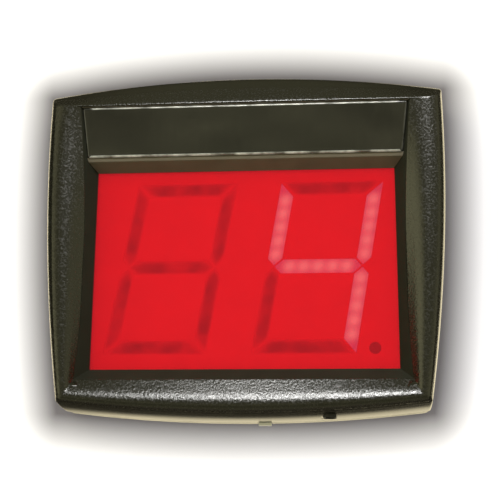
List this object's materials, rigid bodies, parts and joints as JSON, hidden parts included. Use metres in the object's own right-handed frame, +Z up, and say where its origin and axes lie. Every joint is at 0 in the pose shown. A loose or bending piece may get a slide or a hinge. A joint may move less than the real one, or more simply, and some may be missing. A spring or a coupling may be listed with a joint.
{
  "type": "queue number display",
  "caption": "Wall-hung number display for a take-a-number queue: a bowed black frame round a recessed red window with two large seven-segment digits and a blank header strip.",
  "frame": {"origin": "middle of the rear cover's flat back, on the wall's surface, half way across and level with the middle of the body", "axes": "+X to the viewer's right, +Z up, +Y into the wall; the digits face -Y"},
  "size_m": [0.2334, 0.045, 0.2028],
  "materials": {
    "bezel_plastic": "black moulded ABS, fine spark-eroded grain outside, smooth in the pocket",
    "cover_plastic": "black moulded ABS, fine grain",
    "red_filter": "clear red acrylic sheet with a matt front",
    "black_tape": "thin double-sided foam tape",
    "plated_steel": "zinc-plated steel",
    "black_steel": "black-plated steel screw",
    "clear_strip": "clear acrylic strip, polished",
    "black_card": "blank black insert card",
    "digit_case": "pale grey moulded reflector",
    "segment_dark": "milky light-guiding resin, unlit",
    "segment_lit": "milky light-guiding resin, lit",
    "circuit_board": "glass-epoxy board with green solder resist",
    "led_chip": "cast LED chips",
    "pins": "plated brass pins",
    "chip_black": "moulded black epoxy",
    "network_body": "dipped resistor network",
    "crystal_can": "drawn steel can",
    "heat_sink_metal": "extruded aluminium",
    "capacitor_sleeve": "dark shrink sleeve on a can",
    "terminal_green": "green moulded nylon",
    "terminal_metal": "plated steel",
    "grommet_rubber": "black rubber",
    "trimmer_blue": "blue moulded trimmer case",
    "switch_frame": "folded steel switch frame",
    "button_white": "white moulded button",
    "plunger_red": "red moulded plunger",
    "slider_black": "black moulded slider"
  },
  "bodies": {
    "case": {"front_bezel": "bezel_plastic", "rear_cover": "cover_plastic", "window_filter": "red_filter", "filter_tape": "black_tape", "filter_clips": "plated_steel", "clip_screws": "plated_steel", "board_screws": "plated_steel", "case_screws": "black_steel", "header_strip": "clear_strip", "header_card": "black_card", "digit_reflector": "digit_case", "tens_segments": "segment_dark", "units_segments_unlit": "segment_dark", "units_point": "segment_dark", "units_segments_lit": "segment_lit", "tens_led_board": "circuit_board", "units_led_board": "circuit_board", "main_board": "circuit_board", "tens_leds": "led_chip", "units_leds": "led_chip", "digit_pins": "pins", "microcontroller": "chip_black", "segment_drivers": "chip_black", "voltage_regulator": "chip_black", "bridge_rectifier": "chip_black", "buzzer": "chip_black", "button_switch": "chip_black", "resistor_networks": "network_body", "crystal": "crystal_can", "heat_sink": "heat_sink_metal", "smoothing_capacitors": "capacitor_sleeve", "terminal_block": "terminal_green", "terminal_screws": "terminal_metal", "cable_grommet": "grommet_rubber", "volume_trimmer": "trimmer_blue", "chime_switch": "switch_frame"},
    "advance_button": {"advance_button": "button_white", "button_plunger": "plunger_red"},
    "trimmer_wheel": {"trimmer_wheel": "button_white"},
    "chime_slider": {"chime_slider": "slider_black"}
  },
  "joints": [
    {"name": "button_press", "type": "slide", "parent": "case", "child": "advance_button", "axis": [0, 0, 1], "range_m": [0, 0.001], "stiffness_N_per_m": 300, "springref_m": -0.001},
    {"name": "volume_turn", "type": "hinge", "parent": "case", "child": "trimmer_wheel", "pos_m": [0.058, -0.0075, -0.06], "axis": [0, 1, 0], "range_deg": [0, 260]},
    {"name": "chime_slide", "type": "slide", "parent": "case", "child": "chime_slider", "axis": [1, 0, 0], "range_m": [0, 0.002]}
  ]
}
